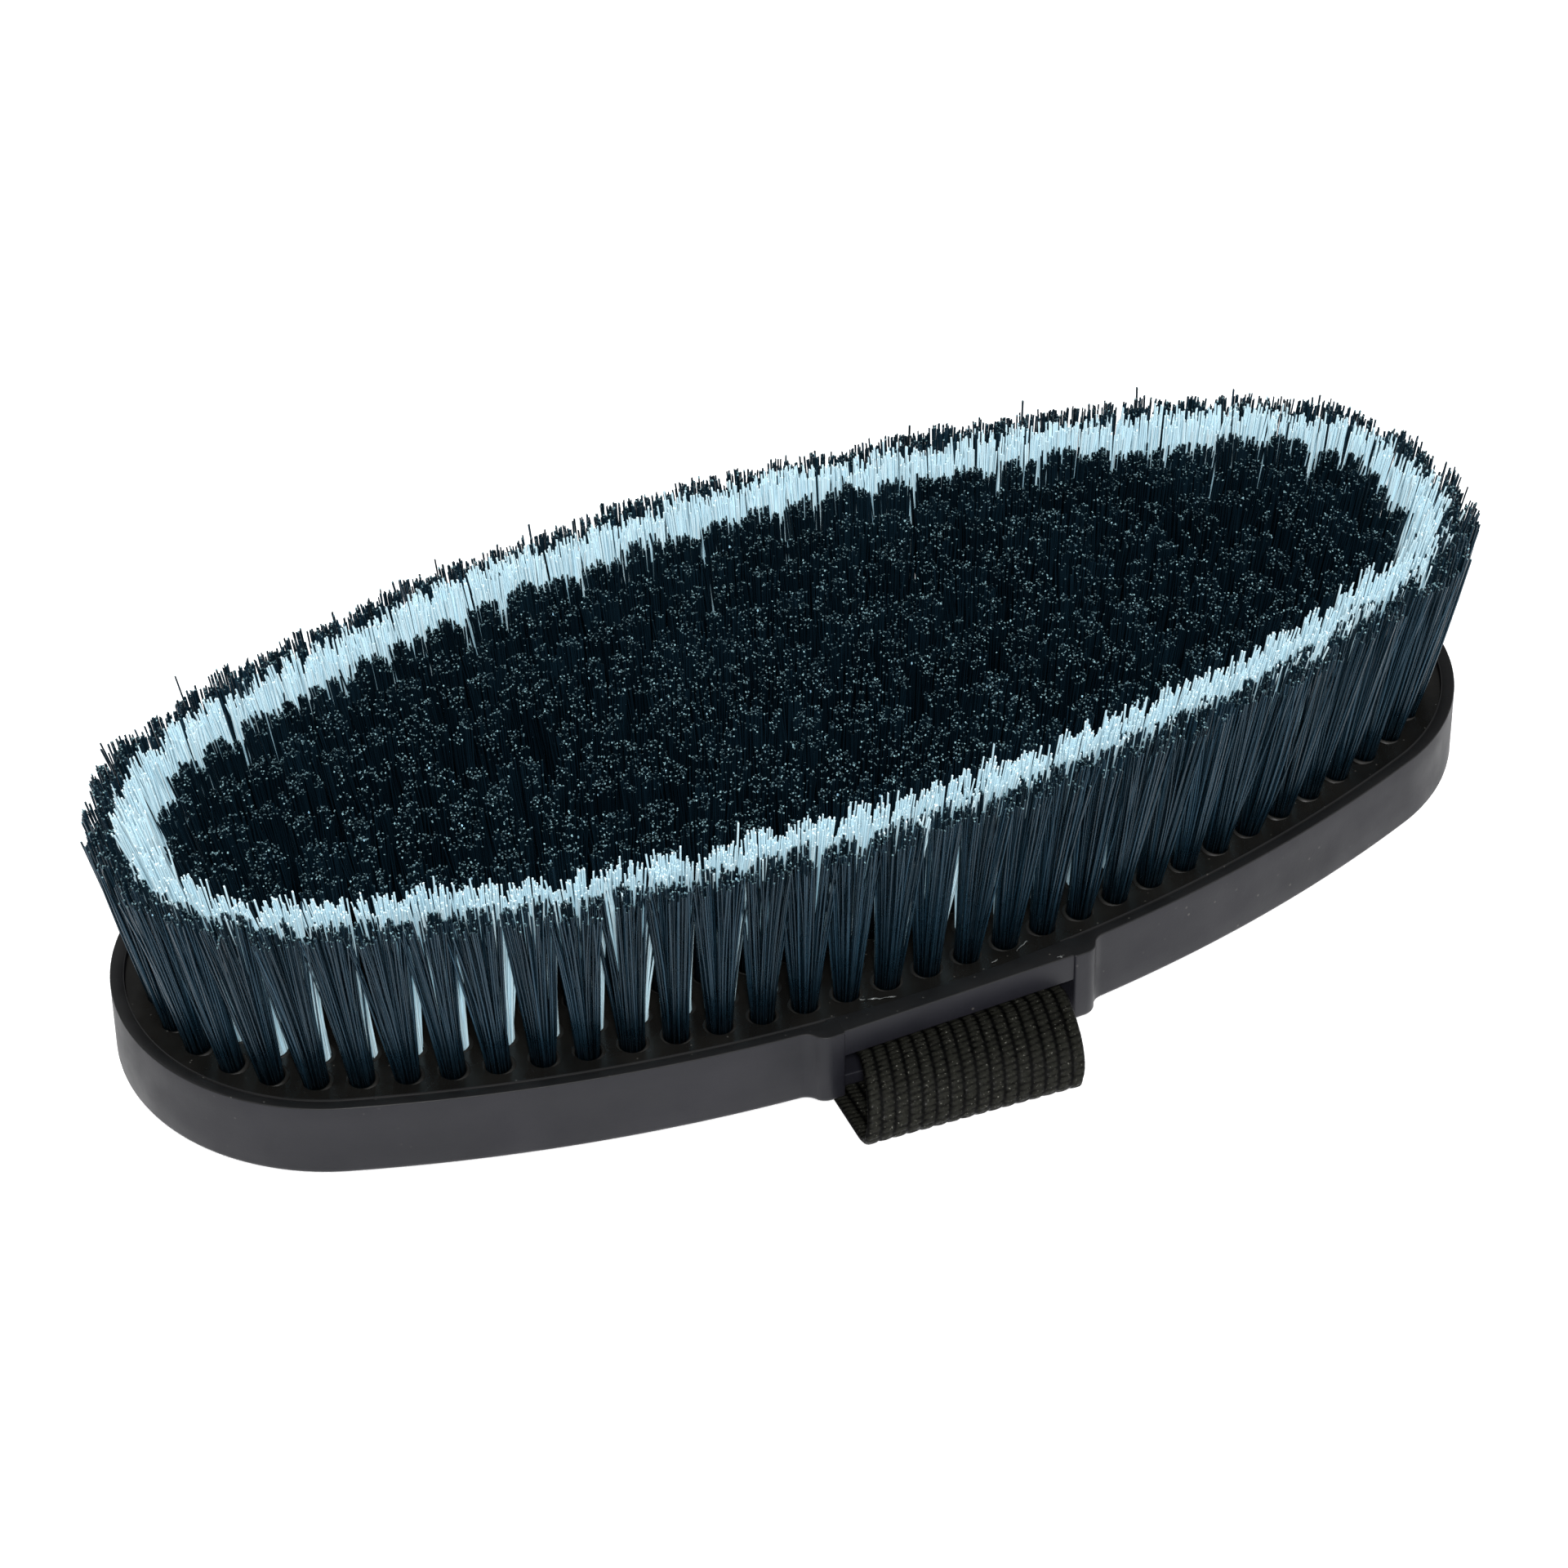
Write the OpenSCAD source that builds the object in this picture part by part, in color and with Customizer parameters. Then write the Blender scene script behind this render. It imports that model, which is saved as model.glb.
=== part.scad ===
// Oval horse body brush with an elastic hand strap, lying bristles up on its strap.
// +X runs along the brush, +Z points out of the bristles, and z = 0 is the underside of the strap.
// The outline is a four-arc oval: two end arcs and two long side arcs that meet without a corner.

/* [Body shell] */
// Length of the oval body
body_l = 200; // [190:1:210]
// Width of the oval body, without the strap bosses
body_w = 86.6; // [84:0.2:92]
// Radius of the two end arcs
end_r = 30.4; // [28:0.2:33]
// Height of the side wall
wall_h = 11.4; // [10.4:0.2:14]
// Thickness of the side wall at its rim
wall_t = 1.9; // [1.6:0.1:2.4]
// Thickness of the back
back_t = 2.4; // [2:0.1:3]
// Relief of the lower edge
edge_r = 0.9; // [0.5:0.1:1.5]
// Offset of the strap slots along the brush, from its middle
slot_shift = 1.2; // [-2:0.1:2]

/* [Bristle plate] */
// Thickness of the plate that holds the tufts
plate_t = 5; // [4.5:0.1:5.5]
// Depth of the plate's top below the rim
plate_drop = 0.8; // [0.4:0.1:1.2]
// Depth of the blind holes, along their own axis
hole_depth = 4; // [3.5:0.1:4.2]
// Radius of the blind holes
hole_r = 1.8; // [1.6:0.05:1.9]

/* [Tufts] */
// Inset of the outer ring of holes from the outline
ring_inset = 6.4; // [6:0.1:7]
// Distance from one ring of holes to the next
ring_pitch = 5.25; // [5:0.05:5.4]
// Distance between neighbouring holes along a ring
tuft_pitch = 6; // [5.9:0.05:7]
// Height of the bristle tips above the rim
tip_h = 27.7; // [20:0.1:30]
// Spread of the tips along the brush, as a multiple of the hole's place
fan_x = 1.055; // [1:0.005:1.06]
// Spread of the tips across the brush
fan_y = 1.095; // [1:0.005:1.12]
// Radius of a tuft at its tip
tip_r = 2.45; // [2:0.05:2.5]

/* [Hand strap] */
// Width of the elastic webbing
strap_w = 31.2; // [28:0.2:33.6]
// Thickness of the elastic webbing
strap_t = 1.2; // [1:0.1:1.4]
// Reach of the slack fold beyond the body's side
fold_out = 10.8; // [9.6:0.2:12]

/* [Hidden] */

// Colours
shell_colour = [0.14, 0.14, 0.18];
plate_colour = [0.11, 0.10, 0.09];
navy = [0.05, 0.12, 0.19];
light_blue = [0.71, 0.87, 0.94];
webbing_colour = [0.08, 0.08, 0.07];
steel = "silver";

// Smoothness of the side arcs, end arcs, boss corners and tufts
fn_large = 720;
fn_end = 192;
fn_small = 96;
fn_tuft = 24;

// A hair's breadth, where faces must cross or stay apart instead of coinciding
hair = 0.05;

// Heights: the back lies a strap's thickness and a small gap above z = 0
strap_gap = 0.3;
back_z = strap_t + strap_gap;
rim_z = back_z + wall_h;
floor_z = back_z + back_t;
plate_top_z = rim_z - plate_drop;
plate_z = plate_top_z - plate_t;
tip_z = rim_z + tip_h;

// Outline: end arc centres at (+-end_x, 0), side arc centres at (0, +-side_y)
half_l = body_l / 2;
half_w = body_w / 2;
side_r = (half_l * half_l + half_w * half_w - 2 * half_l * end_r) / (2 * (half_w - end_r));
end_x = half_l - end_r;
side_y = side_r - half_w;
join_a = atan2(side_y, end_x);
join_x = end_x + end_r * cos(join_a);

// Strap slot: a bar over each slot, between two bosses
slot_x = 17.2;
slot_in = 8;
bar_h = 4.4;
bar_y = half_w + 0.9;
bar_d = 4;
boss_y = half_w + 1.2;
boss_l = 3.6;
boss_r = 1.15;
boss_in = 5;

// Fits and ledges
plate_gap = 0.15;
ledge = 2.2;
rib_t = 1.8;
rib_h = plate_z - floor_z;
rib_step = 34;

// Tufts: one metal anchor stands at the bottom of each hole, under the tuft
ring_count = 7;
axis_gap = 2.4;
min_gap = 4.75;
root_r = hole_r - hair;
anchor_h = 1.2;
anchor_t = 0.3;
anchor_bite = 0.15;
anchor_w = 2 * (hole_r + anchor_bite);

// Strap route in the Y-Z plane, front side: end tab, slot, bulge, fold. The two pulls are the handles of
// the curve between slot and fold, whose lower end lies fold_in behind its outermost point.
tab_in = 24;
tab_out = 37.5;
band_y = half_w + 3;
tab_z = plate_z - hair - strap_t / 2;
slot_gap = 0.15;
slot_z = rim_z - bar_h - slot_gap - strap_t / 2;
fold_y = half_w + fold_out;
fold_in = 3.06;
slot_pull = [-8, 1.5];
fold_pull = [-5.5, 0];
leg_steps = 16;

// Staples
staple_w = 10;
staple_gap = 16;
staple_bite = 0.9;
wire = 0.7;

// ---------- Outline ----------

// Flat oval, moved in from the outline by d. The end circles stand proud of the side arcs by a hair where
// the two meet, so that they cross instead of only touching.
module oval(d) {
    intersection() {
        translate([0, -side_y]) circle(side_r - d, $fn = fn_large);
        translate([0, side_y]) circle(side_r - d, $fn = fn_large);
        square([2 * join_x, body_w], center = true);
    }
    for (x = [-end_x, end_x]) translate([x, 0]) circle(end_r - d + hair, $fn = fn_end);
}

// Whole oval block with a relieved lower edge
module oval_block(h) {
    linear_extrude(h) oval(edge_r / 2);
    translate([0, 0, edge_r / 2]) linear_extrude(h - edge_r / 2) oval(0);
}

// ---------- Body shell ----------

// Boss beside a strap slot, on the front right, in plan
module boss_plan() {
    outer = slot_x + boss_l;
    inner_y = -half_w + boss_in;
    polygon([[slot_x, inner_y], [slot_x, -boss_y], [outer - boss_r, -boss_y],
        [outer, -boss_y + boss_r], [outer, inner_y]]);
    translate([outer - boss_r, -boss_y + boss_r]) circle(boss_r, $fn = fn_small);
    // hollow fillet where the boss runs into the wall
    difference() {
        translate([outer, -half_w + 2 * hair]) square([boss_r, boss_r + 0.5]);
        translate([outer + boss_r, -half_w]) circle(boss_r, $fn = fn_small);
    }
}

// Both bosses and the bar between them, on the front side
module slot_frame() {
    translate([slot_shift, 0, 0]) {
        for (m = [0, 1]) mirror([m, 0, 0])
            translate([0, 0, back_z]) linear_extrude(wall_h) boss_plan();
        translate([-slot_x, -bar_y, rim_z - bar_h]) cube([2 * slot_x, bar_d, bar_h]);
    }
}

module body_shell() {
    color(shell_colour) difference() {
        union() {
            translate([0, 0, back_z]) oval_block(wall_h);
            for (m = [0, 1]) mirror([0, m, 0]) slot_frame();
        }
        // seat of the bristle plate
        translate([0, 0, plate_z]) linear_extrude(wall_h) oval(wall_t);
        // hollow under the plate, crossed by ribs
        difference() {
            translate([0, 0, floor_z]) linear_extrude(wall_h) oval(wall_t + ledge);
            for (i = [-2, -1, 1, 2])
                translate([i * rib_step - rib_t / 2, -half_w, floor_z]) cube([rib_t, body_w, rib_h]);
        }
        // strap slots
        for (m = [0, 1]) mirror([0, m, 0])
            translate([slot_shift - slot_x, -half_w - slot_in / 2, floor_z])
                cube([2 * slot_x, 1.5 * slot_in, rim_z - bar_h - floor_z]);
    }
}

// ---------- Places of the tufts ----------

// Inset of a ring of holes from the outline
function inset_of(ring) = ring_inset + (ring - 1) * ring_pitch;

// Angle at which the side arc of a ring with inset d ends, at the end arc or on the long axis
function side_end(d) = d < end_r ? join_a : asin(side_y / (side_r - d));

// Lengths of the two arcs in one quarter of a ring, and of the whole ring
function side_len(d) = (side_r - d) * (90 - side_end(d)) * PI / 180;
function end_len(d) = d < end_r ? (end_r - d) * join_a * PI / 180 : 0;
function ring_len(d) = 4 * (side_len(d) + end_len(d));

// Point on a side arc and on an end arc, at an angle a from +X
function on_side(d, a) = [(side_r - d) * cos(a), (side_r - d) * sin(a) - side_y];
function on_end(d, a) = [end_x + (end_r - d) * cos(a), (end_r - d) * sin(a)];

// Point on the first quarter of a ring, s along it from the middle of the long side
function quarter_point(d, s) = s <= side_len(d)
    ? on_side(d, 90 - s / (side_r - d) * 180 / PI)
    : on_end(d, join_a - (s - side_len(d)) / (end_r - d) * 180 / PI);

// Point anywhere on a ring, by reflecting the first quarter
function ring_point(d, s) =
    let (quarter = ring_len(d) / 4, n = floor(s / quarter), rest = s - n * quarter)
    let (p = quarter_point(d, n % 2 == 0 ? rest : quarter - rest))
    [n < 2 ? p[0] : -p[0], n == 0 || n == 3 ? p[1] : -p[1]];

// Odd rings start half a step along, which staggers each ring against its neighbours
function shift_of(ring) = ring % 2 / 2;

// A ring with round ends has holes all the way round
function closed_ring(ring, d) =
    let (n = round(ring_len(d) / tuft_pitch), step = ring_len(d) / n)
    [for (i = [0 : n - 1]) ring_point(d, (i + shift_of(ring)) * step)];

// A ring inside the end arcs' centres has two sides that meet at a point, and stops short of it
function pointed_ring(ring, d) =
    let (n = ceil(side_len(d) / tuft_pitch))
    [for (side = [1, -1], i = [-n : n])
        let (s = (i + shift_of(ring)) * tuft_pitch, p = on_side(d, 90 - s / (side_r - d) * 180 / PI))
        if (p[1] > axis_gap) [p[0], side * p[1]]];

// Holes of one ring
function ring_holes(ring) =
    let (d = inset_of(ring)) d < end_r ? closed_ring(ring, d) : pointed_ring(ring, d);

// Holes of the straight row along the middle, wherever the rings leave room for them
all_ring_holes = [for (ring = [1 : ring_count], p = ring_holes(ring)) p];
centre_reach = floor(half_l / tuft_pitch);
function nearest(p) = min([for (q = all_ring_holes) norm(p - q)]);
function centre_holes() =
    [for (i = [-centre_reach : centre_reach]) let (p = [i * tuft_pitch, 0]) if (nearest(p) > min_gap) p];

// Way from a hole's mouth to its tuft's tip
function lean_of(p) = [p[0] * (fan_x - 1), p[1] * (fan_y - 1), tip_z - plate_top_z];

// Puts children at a hole's mouth, with +Z along the hole's axis and out of it
module at_hole(p) {
    lean = lean_of(p);
    translate([p[0], p[1], plate_top_z])
        rotate([0, atan2(norm([lean[0], lean[1]]), lean[2]), atan2(lean[1], lean[0])]) children();
}

// ---------- Bristle plate, tufts and anchors ----------

// Blind holes. The quarter turn keeps each cylinder's seam away from the high point of its slanted mouth.
module hole_cutters(holes) {
    for (p = holes) at_hole(p) rotate(90)
        translate([0, 0, -hole_depth]) cylinder(h = hole_depth + 1, r = hole_r, $fn = fn_tuft);
}

module bristle_plate() {
    color(plate_colour) difference() {
        translate([0, 0, plate_z]) linear_extrude(plate_t) oval(wall_t + plate_gap);
        for (ring = [1 : ring_count]) hole_cutters(ring_holes(ring));
        hole_cutters(centre_holes());
    }
}

// One tuft: a straight root in the hole, then a flare to the tip
module tuft(length) {
    foot = -hole_depth + anchor_h + 2 * hair;
    rotate_extrude($fn = fn_tuft)
        polygon([[0, foot], [root_r, foot], [root_r, 0], [tip_r, length], [0, length]]);
}

module tufts(holes) {
    for (p = holes) at_hole(p) tuft(norm(lean_of(p)));
}

// Flat wire anchors, their ends pressed into the walls of the holes
module anchors(holes) {
    color(steel) for (p = holes) at_hole(p)
        translate([-anchor_t / 2, -anchor_w / 2, -hole_depth + hair]) cube([anchor_t, anchor_w, anchor_h]);
}

// ---------- Hand strap ----------

// Point at t on a cubic curve from a to d
function curve(a, b, c, d, t) =
    pow(1 - t, 3) * a + 3 * pow(1 - t, 2) * t * b + 3 * (1 - t) * t * t * c + pow(t, 3) * d;

// Centre line of the slack part on the front: out through the slot, down in a bulge and to the fold
slot_p = [-bar_y, slot_z];
fold_p = [-fold_y + fold_in, strap_t / 2];
function slack_line() =
    [for (i = [0 : leg_steps]) curve(slot_p, slot_p + slot_pull, fold_p + fold_pull, fold_p, i / leg_steps)];
function leg_line() = concat([[-tab_out, tab_z], [-half_w + wall_t + strap_t / 2, tab_z]], slack_line());

// Unit normal to the left of a line at point i
function left_of(line, i) =
    let (v = line[min(i + 1, len(line) - 1)] - line[max(i - 1, 0)]) [-v[1], v[0]] / norm(v);

// A line moved sideways, and a line backwards
function side_points(line, off) = [for (i = [0 : len(line) - 1]) line[i] + left_of(line, i) * off];
function reversed(line) = [for (i = [len(line) - 1 : -1 : 0]) line[i]];

// Extrudes a Y-Z outline over the strap's width
module across_strap() {
    rotate([90, 0, 90]) translate([0, 0, slot_shift - strap_w / 2]) linear_extrude(strap_w) children();
}

// Slack part: the line given a thickness, and the flat stretch under it as far as the band
module strap_leg() {
    line = leg_line();
    outer = side_points(line, -strap_t / 2);
    inner = side_points(line, strap_t / 2);
    under = [[-band_y, 0], [-band_y, strap_t]];
    color(webbing_colour) across_strap() polygon(concat(outer, under, reversed(inner)));
}

module strap_leg_front() strap_leg();
module strap_leg_rear() mirror([0, 1, 0]) strap_leg();

module strap_band() {
    color(webbing_colour) translate([slot_shift - strap_w / 2, -band_y, 0])
        cube([strap_w, 2 * band_y, strap_t]);
}

module strap_end_front() {
    color(webbing_colour) translate([slot_shift - strap_w / 2, -tab_out, tab_z - strap_t / 2])
        cube([strap_w, tab_out - tab_in, strap_t]);
}

module strap_end_rear() mirror([0, 1, 0]) strap_end_front();

// Two wire staples through the end of the strap into the plate
module strap_staples_front() {
    crown_z = tab_z - strap_t / 2 - wire;
    middle_y = -(tab_in + tab_out) / 2;
    color(steel) for (x = [-staple_gap / 2, staple_gap / 2]) translate([slot_shift + x, middle_y, crown_z]) {
        translate([-staple_w / 2, -wire / 2, 0]) cube([staple_w, wire, wire]);
        for (m = [0, 1]) mirror([m, 0, 0])
            translate([staple_w / 2 - wire, -wire / 2, 0]) cube([wire, wire, wire + strap_t + staple_bite]);
    }
}

module strap_staples_rear() mirror([0, 1, 0]) strap_staples_front();

// ---------- Nodes ----------

body_shell();
bristle_plate();
color(navy) tufts(ring_holes(1));  // tufts_ring_1
color(light_blue) tufts(ring_holes(2));  // tufts_ring_2
color(navy) tufts(ring_holes(3));  // tufts_ring_3
color(navy) tufts(ring_holes(4));  // tufts_ring_4
color(navy) tufts(ring_holes(5));  // tufts_ring_5
color(navy) tufts(ring_holes(6));  // tufts_ring_6
color(navy) tufts(ring_holes(7));  // tufts_ring_7
color(navy) tufts(centre_holes());  // tufts_centre_row
anchors(ring_holes(1));  // anchors_ring_1
anchors(ring_holes(2));  // anchors_ring_2
anchors(ring_holes(3));  // anchors_ring_3
anchors(ring_holes(4));  // anchors_ring_4
anchors(ring_holes(5));  // anchors_ring_5
anchors(ring_holes(6));  // anchors_ring_6
anchors(ring_holes(7));  // anchors_ring_7
anchors(centre_holes());  // anchors_centre_row
strap_band();
strap_leg_front();
strap_leg_rear();
strap_end_front();
strap_end_rear();
strap_staples_front();
strap_staples_rear();
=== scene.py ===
import math

import bmesh
import bpy
import numpy as np
from mathutils import Matrix, Vector


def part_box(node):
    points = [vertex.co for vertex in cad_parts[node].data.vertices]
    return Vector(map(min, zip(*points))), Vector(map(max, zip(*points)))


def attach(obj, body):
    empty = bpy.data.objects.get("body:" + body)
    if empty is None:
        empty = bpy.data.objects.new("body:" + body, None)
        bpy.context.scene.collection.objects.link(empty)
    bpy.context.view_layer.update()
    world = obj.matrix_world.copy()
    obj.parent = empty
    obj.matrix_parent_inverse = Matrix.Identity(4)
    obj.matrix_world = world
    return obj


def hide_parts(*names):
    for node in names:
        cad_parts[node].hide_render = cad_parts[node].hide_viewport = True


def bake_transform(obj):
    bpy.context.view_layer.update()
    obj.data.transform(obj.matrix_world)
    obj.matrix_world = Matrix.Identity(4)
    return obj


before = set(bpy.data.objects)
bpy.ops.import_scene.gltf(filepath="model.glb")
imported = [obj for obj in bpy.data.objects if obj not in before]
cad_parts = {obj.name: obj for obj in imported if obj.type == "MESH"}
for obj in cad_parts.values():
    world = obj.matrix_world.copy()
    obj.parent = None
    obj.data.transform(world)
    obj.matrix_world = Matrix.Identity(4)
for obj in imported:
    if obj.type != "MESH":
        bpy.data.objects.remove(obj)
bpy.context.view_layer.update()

MM = 0.001
rng = np.random.default_rng(20)

# ---------- Sizes, from the frame ----------

shell_lo, shell_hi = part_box("body_shell")
plate_lo, plate_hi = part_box("bristle_plate")
band_lo, band_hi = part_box("strap_band")
leg_lo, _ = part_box("strap_leg_front")
end_lo, end_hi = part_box("strap_end_front")

BACK_Z, RIM_Z = shell_lo.z, shell_hi.z
SEAT_Z, PLATE_Z = plate_lo.z, plate_hi.z
FLOOR_Z = BACK_Z + 2.4 * MM
HALF_L = shell_hi.x - 0.05 * MM
BOSS_Y = shell_hi.y
HALF_W = BOSS_Y - 1.2 * MM
WALL_T, LEDGE = 1.9 * MM, 2.2 * MM

# Four-arc oval: end arcs about (+-END_X, 0), side arcs about (0, +-SIDE_Y)
END_R = 30.4 * MM
END_X = HALF_L - END_R
SIDE_R = (HALF_L ** 2 + HALF_W ** 2 - 2 * HALF_L * END_R) / (2 * (HALF_W - END_R))
SIDE_Y = SIDE_R - HALF_W
JOIN_A = math.atan2(SIDE_Y, END_X)

# Strap slot, off the middle of the brush by SLOT_MID, between two bosses whose flanks fade into the wall
SLOT_MID = (band_lo.x + band_hi.x) / 2
SLOT_X, BOSS_FLAT, BOSS_FADE = 17.2 * MM, 1.8 * MM, 3.8 * MM
BOSS_TURN = math.radians(66)
BAR_H, BAR_Y = 4.4 * MM, HALF_W + 0.9 * MM

# Filaments: the turn from one root to the next, the disc of roots, how deep they start and the clumps in a tuft
GOLDEN_ANGLE = 2.39996
ROOT_R, SUNK = 1.6 * MM, 0.6 * MM
CLUMPS = 7

# Camera, from the fit to the photo: degrees (azimuth, elevation, roll), aim in mm, distance in m and lens in mm
CAMERA_ANGLES = (-25.904, 38.005, -0.758)
CAMERA_AIM = (-2.457, 0.94, 17.95)
CAMERA_DISTANCE, CAMERA_LENS = 0.74735, 124.75


# ---------- Mesh helpers ----------

def make_object(name, verts, faces, materials, smooth_angle=35):
    """A mesh object whose edges sharper than smooth_angle stay sharp."""
    mesh = bpy.data.meshes.new(name)
    mesh.from_pydata([tuple(v) for v in verts], [], [tuple(f) for f in faces])
    for material in materials:
        mesh.materials.append(material)
    bm = bmesh.new()
    bm.from_mesh(mesh)
    bmesh.ops.recalc_face_normals(bm, faces=bm.faces)
    for face in bm.faces:
        face.smooth = True
    limit = math.radians(smooth_angle)
    for edge in bm.edges:
        if len(edge.link_faces) == 2 and edge.calc_face_angle(0) > limit:
            edge.smooth = False
    bm.to_mesh(mesh)
    bm.free()
    obj = bpy.data.objects.new(name, mesh)
    bpy.context.scene.collection.objects.link(obj)
    return obj


def loft(columns, closed=True):
    """Vertices and quads between columns, each a list of points of the same length."""
    count, rows = len(columns), len(columns[0])
    verts = [p for column in columns for p in column]
    faces = []
    for i in range(count if closed else count - 1):
        j = (i + 1) % count
        for k in range(rows - 1):
            faces.append((i * rows + k, j * rows + k, j * rows + k + 1, i * rows + k + 1))
    return verts, faces


def arc(start, stop, steps):
    return [math.radians(start + (stop - start) * k / steps) for k in range(steps + 1)]


# ---------- Materials ----------

class Shader:
    """A node material with one Principled shader and short ways to feed it."""

    def __init__(self, name, roughness, **constants):
        self.material = bpy.data.materials.new(name)
        self.material.use_nodes = True
        self.tree = self.material.node_tree
        self.shader = self.tree.nodes["Principled BSDF"]
        self.shader.inputs["Roughness"].default_value = roughness
        for key, value in constants.items():
            self.shader.inputs[key.replace("_", " ")].default_value = value
        self.place = self.node("ShaderNodeTexCoord").outputs["Object"]

    def node(self, kind, **props):
        made = self.tree.nodes.new(kind)
        for key, value in props.items():
            setattr(made, key, value)
        return made

    def link(self, source, target):
        self.tree.links.new(source, target)

    def stretched(self, scale):
        mapping = self.node("ShaderNodeMapping")
        mapping.inputs["Scale"].default_value = scale
        self.link(self.place, mapping.inputs["Vector"])
        return mapping.outputs["Vector"]

    def noise(self, scale, detail=3.0, vector=None):
        made = self.node("ShaderNodeTexNoise")
        made.inputs["Scale"].default_value = scale
        made.inputs["Detail"].default_value = detail
        self.link(vector or self.place, made.inputs["Vector"])
        return made.outputs["Fac"]

    def specks(self, scale):
        made = self.node("ShaderNodeTexVoronoi")
        made.inputs["Scale"].default_value = scale
        self.link(self.place, made.inputs["Vector"])
        return made.outputs["Distance"]

    def attribute(self, name):
        return self.node("ShaderNodeAttribute", attribute_name=name).outputs["Fac"]

    def ramp(self, source, *stops):
        made = self.node("ShaderNodeValToRGB")
        self.link(source, made.inputs["Fac"])
        elements = made.color_ramp.elements
        while len(elements) < len(stops):
            elements.new(0.5)
        for element, (position, value) in zip(elements, stops):
            element.position = position
            element.color = (*value, 1) if hasattr(value, "__len__") else (value, value, value, 1)
        return made.outputs["Color"]

    def mix(self, a, b, factor, blend="MIX"):
        made = self.node("ShaderNodeMix", data_type="RGBA", blend_type=blend)
        for socket, value in ((made.inputs[0], factor), (made.inputs[6], a), (made.inputs[7], b)):
            if isinstance(value, bpy.types.NodeSocket):
                self.link(value, socket)
            else:
                socket.default_value = value if isinstance(value, float) else (*value, 1)
        return made.outputs[2]

    def colour(self, source):
        self.link(source, self.shader.inputs["Base Color"])

    def roughness(self, source):
        self.link(source, self.shader.inputs["Roughness"])

    def bump(self, height, distance, strength):
        made = self.node("ShaderNodeBump")
        made.inputs["Distance"].default_value = distance
        made.inputs["Strength"].default_value = strength
        self.link(height, made.inputs["Height"])
        self.link(made.outputs["Normal"], self.shader.inputs["Normal"])


def shell_material():
    s = Shader("shell_satin", 0.5, Specular_IOR_Level=0.3)
    tint = s.ramp(s.noise(70), (0.35, (0.0068, 0.0070, 0.0102)), (0.7, (0.0100, 0.0099, 0.0140)))
    dust = s.ramp(s.specks(420), (0.05, 0.42), (0.11, 0.0))
    patchy = s.ramp(s.noise(55, 4.0), (0.5, 0.0), (0.62, 1.0))
    s.colour(s.mix(tint, (0.14, 0.13, 0.12), s.mix(dust, patchy, 1.0, "MULTIPLY")))
    s.roughness(s.ramp(s.noise(160, 4.0), (0.3, 0.42), (0.75, 0.58)))
    s.bump(s.noise(2600, 2.0), 0.03 * MM, 0.35)
    return s.material


def plate_material(name, dark, pale, low, high):
    """Cut and pressed brownish plastic: uneven gloss, fine scratches and dust."""
    s = Shader(name, (low + high) / 2, Specular_IOR_Level=0.3)
    tint = s.ramp(s.noise(120), (0.35, dark), (0.7, pale))
    dust = s.ramp(s.specks(520), (0.035, 0.4), (0.08, 0.0))
    s.colour(s.mix(tint, (0.17, 0.165, 0.15), dust))
    s.roughness(s.ramp(s.noise(220, 4.0), (0.3, low), (0.75, high)))
    s.bump(s.noise(800, 4.0), 0.06 * MM, 0.5)
    return s.material


def filament_material(name, dark, light, tip_glint_colour, sheen, root, roughness, **glow):
    """Each filament has a tone of its own; painted shade darkens it in the tuft's root, and a painted glint lightens
    the end of its tip.
    """
    s = Shader(name, roughness, Specular_IOR_Level=0.4, Specular_Tint=sheen, **glow)
    tone = s.ramp(s.attribute("tone"), (0.0, dark), (1.0, light))
    # painted shade: the colour darkens towards the tuft's root, by the factor root (1.0 leaves it unshaded)
    painted_root_shade = s.ramp(s.attribute("along"), (0.02, root), (0.12, 0.3 + 0.7 * root), (0.4, 1.0))
    streak = s.ramp(s.noise(900, 2.0, s.stretched((1.0, 1.0, 0.05))), (0.3, 0.78 + 0.16 * root), (0.7, 1.0))
    shaded = s.mix(s.mix(tone, painted_root_shade, 1.0, "MULTIPLY"), streak, 1.0, "MULTIPLY")
    # painted glint: the end face of some filaments is mixed towards a pale colour, standing in for light caught on
    # the tip
    s.colour(s.mix(shaded, tip_glint_colour, s.attribute("painted_tip_glint")))
    s.roughness(s.ramp(s.noise(500), (0.3, roughness - 0.08), (0.7, roughness + 0.1)))
    return s.material


def webbing_material():
    s = Shader("strap_webbing", 0.6, Specular_IOR_Level=0.08)
    # thread tone with painted glints: where the noise is highest the colour turns pale, standing in for light caught
    # on the threads
    thread_tone_and_glints = s.ramp(s.noise(3000, 2.0), (0.30, (0.0085, 0.0086, 0.0068)),
                    (0.66, (0.0150, 0.0151, 0.0120)), (0.78, (0.190, 0.188, 0.165)))
    # painted shade: the colour darkens almost to black in the grooves between the ribs and between the beads, where
    # the height is low
    painted_groove_shade = s.ramp(s.attribute("height"), (0.25, 0.03), (0.78, 1.0))
    s.colour(s.mix(thread_tone_and_glints, painted_groove_shade, 1.0, "MULTIPLY"))
    s.roughness(s.ramp(s.noise(1900), (0.36, 0.30), (0.6, 0.75)))
    s.bump(s.noise(3200, 2.0), 0.05 * MM, 0.6)
    return s.material


def steel_material():
    s = Shader("steel_wire", 0.3, Metallic=1.0)
    s.colour(s.ramp(s.noise(700), (0.3, (0.50, 0.50, 0.50)), (0.7, (0.66, 0.66, 0.65))))
    s.roughness(s.ramp(s.noise(1200), (0.3, 0.24), (0.7, 0.42)))
    return s.material


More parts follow.
